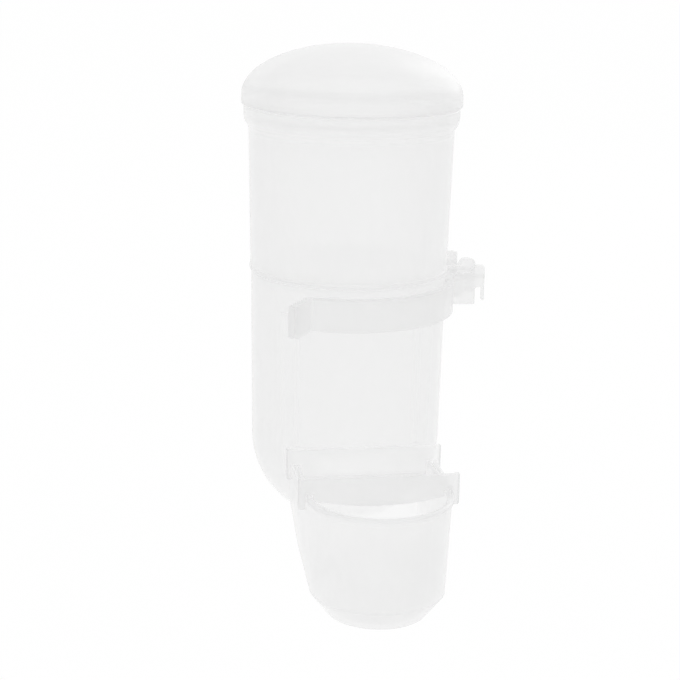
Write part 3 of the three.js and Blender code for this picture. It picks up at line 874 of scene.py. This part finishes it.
# Painted light: the trough's slope is made clearer so that it shows brighter, as if lit from above
# through the open top.
trough_slope_painted_light = ((0.0, -0.030, -0.0605), 0.016, 0.024, 0.5)
yoke_tab_end = (-0.0468, 0.0004, 0.0012, 0.3)
yoke_tabs = [((side * 0.5, -0.0475, -0.044), 0.4779, 0.4784, 0.60) for side in (-1, 1)]
# Painted shade: the middle of the yoke's front plate and its sagging lower edge are darkened.
yoke_front_painted_shade = ((0.0, -0.0594, -0.0440), 0.0205, 0.0242, 0.30)
yoke_apron_painted_shade = ((0.0, -0.0594, -0.100), 0.0550, 0.0562, 0.44)
yoke_places = [yoke_tab_end, *yoke_tabs, yoke_front_painted_shade, yoke_apron_painted_shade]

# Finishes: bright and dull colour, milkiness, roughness, grain, deeper places (thick plastic and
# painted shade) and a clearer one (thin plastic, and on the trough painted light).
# DEEP is the colour of the thick rims and also of the painted shade and painted reflection.
DEEP = grey(0.76)
pale, paler = grey(0.94), grey(0.96)
lid_plastic = milky_plastic(
    "lid milky plastic", pale, grey(0.92), 0.41, 0.35, 1100.0,
    [lid_rim, lid_painted_reflection_ring, plug_end], plug_ring,
)
tube_plastic = milky_plastic(
    "tube milky plastic", paler, pale, 0.42, 0.36, 900.0,
    [tube_bead, collar_edge, collar_rim], bevel_foot,
)
base_plastic = milky_plastic(
    "base milky plastic", paler, pale, 0.40, 0.38, 900.0,
    [base_rim], base_foot,
)
clip_plastic = milky_plastic(
    "clip milky plastic", grey(0.91), grey(0.88), 0.38, 0.40, 1200.0,
    [clip_top, clip_low, lip_end_painted_shade],
)
trough_plastic = milky_plastic(
    "trough milky plastic", paler, pale, 0.39, 0.36, 900.0,
    [trough_rim, cup_edge, cup_front], trough_slope_painted_light,
)
yoke_plastic = milky_plastic(
    "yoke milky plastic", paler, pale, 0.36, 0.40, 1200.0,
    yoke_places,
)

finished(lid_surface(), "lid", "lid", lid_plastic)
finished(tube_surface(), "tube", "seed_tube", tube_plastic)
finished(base_surface(), "base", "hopper_base", base_plastic)
finished(clip_surface(), "clip", "cage_clip", clip_plastic)
finished(trough_surface(), "trough", "feed_trough", trough_plastic)
finished(yoke_surface(), "yoke", "trough_yoke", yoke_plastic)


FLOOR_GLOW = 0.98


def seen_as_background(flow):
    """1 for a ray from the camera or from a glossy or clear surface."""
    ray = flow.node("ShaderNodeLightPath", output="Is Camera Ray")
    return ray.at_least(ray.beside("Is Glossy Ray")).at_least(ray.beside("Is Transmission Ray"))


def stage_floor(height, reach):
    """Level white floor: a disc as a polar grid of angle and radius."""
    turns, rings = 96, 12
    a = np.linspace(0.0, 2 * np.pi, turns, endpoint=False)[:, None]
    r = np.linspace(0.0, 1.0, rings)[None, :] ** 2 * reach
    z = np.full((turns, rings), height)
    points, faces = patch(np.stack([r * np.sin(a), -r * np.cos(a), z], axis=-1), wrap_u=True)
    mesh = bpy.data.meshes.new("stage_floor")
    mesh.from_pydata(points.tolist(), [], faces.tolist())
    floor = bpy.data.objects.new("stage_floor", mesh)
    bpy.context.scene.collection.objects.link(floor)
    white = bpy.data.materials.new("white paper")
    flow = fresh_flow(white)
    matt = {"Base Color": (*grey(0.96), 1.0), "Roughness": 0.9}
    paper = flow.node("ShaderNodeBsdfPrincipled", {}, matt)
    glow = flow.node("ShaderNodeEmission", {}, {"Color": (*grey(1.0), 1.0), "Strength": 1.0})
    share = seen_as_background(flow) * FLOOR_GLOW
    lit = flow.node("ShaderNodeMixShader", {}, {0: share, 1: paper, 2: glow})
    flow.node("ShaderNodeOutputMaterial", {}, {"Surface": lit})
    floor.data.materials.append(white)


def stage_world(light):
    """Even white surround that gives a share of full light, at full white where it is seen."""
    world = bpy.data.worlds.new("white surround")
    flow = fresh_flow(world)
    strength = light + seen_as_background(flow) * (1.0 - light)
    white = {"Color": (*grey(1.0), 1.0), "Strength": strength}
    back = flow.node("ShaderNodeBackground", {}, white)
    flow.node("ShaderNodeOutputWorld", {}, {"Surface": back})
    bpy.context.scene.world = world


def set_up(name, data, place, right, up, back):
    """Lamp or camera at a place, with the directions of its right, top and rear."""
    made = bpy.data.objects.new(name, data)
    rows = np.stack([right, up, back, np.asarray(place, float)], axis=1)
    made.matrix_world = Matrix(rows.tolist() + [[0.0, 0.0, 0.0, 1.0]])
    bpy.context.scene.collection.objects.link(made)
    return made


def soft_box(name, place, target, size, power):
    """Square area lamp at a place, turned toward a target."""
    lamp = bpy.data.lights.new(name, "AREA")
    lamp.size = size
    lamp.energy = power
    back = np.asarray(place, float) - np.asarray(target, float)
    back = back / np.linalg.norm(back)
    right = np.cross([0.0, 0.0, 1.0], back)
    right = right / np.linalg.norm(right)
    set_up(name, lamp, place, right, np.cross(back, right), back)


def stage_camera(place, yaw, pitch, roll, lens):
    """Camera at a place, turned right by yaw, down by pitch and then rolled about its own axis."""
    yaw, pitch, roll = (math.radians(v) for v in (yaw, pitch, roll))
    level = math.cos(pitch)
    ahead = np.array([math.sin(yaw) * level, math.cos(yaw) * level, -math.sin(pitch)])
    side = np.array([math.cos(yaw), -math.sin(yaw), 0.0])
    top = np.cross(side, ahead)
    right = side * math.cos(roll) + top * math.sin(roll)
    up = top * math.cos(roll) - side * math.sin(roll)
    camera = bpy.data.cameras.new("camera")
    camera.lens = lens
    camera.sensor_width = 36.0
    camera.clip_start = 0.01
    bpy.context.scene.camera = set_up("camera", camera, place, right, up, -ahead)


stage_floor(height=-0.17, reach=9.0)
stage_world(light=0.84)
soft_box("key soft box", (0.15, -0.6, 1.05), (0.0, -0.03, -0.02), size=0.8, power=1.3)
soft_box("rim soft box", (0.85, 1.0, 0.54), (0.0, 0.0, 0.05), size=0.8, power=1.9)
soft_box("side soft box", (-0.9, -0.1, 0.1), (0.0, 0.0, 0.0), size=0.8, power=0.28)
stage_camera((-0.0854, -0.5103, 0.1225), yaw=9.27, pitch=14.9, roll=1.2, lens=93.41)
bpy.context.scene.view_settings.view_transform = "Standard"
bpy.context.scene.cycles.transparent_max_bounces = 32
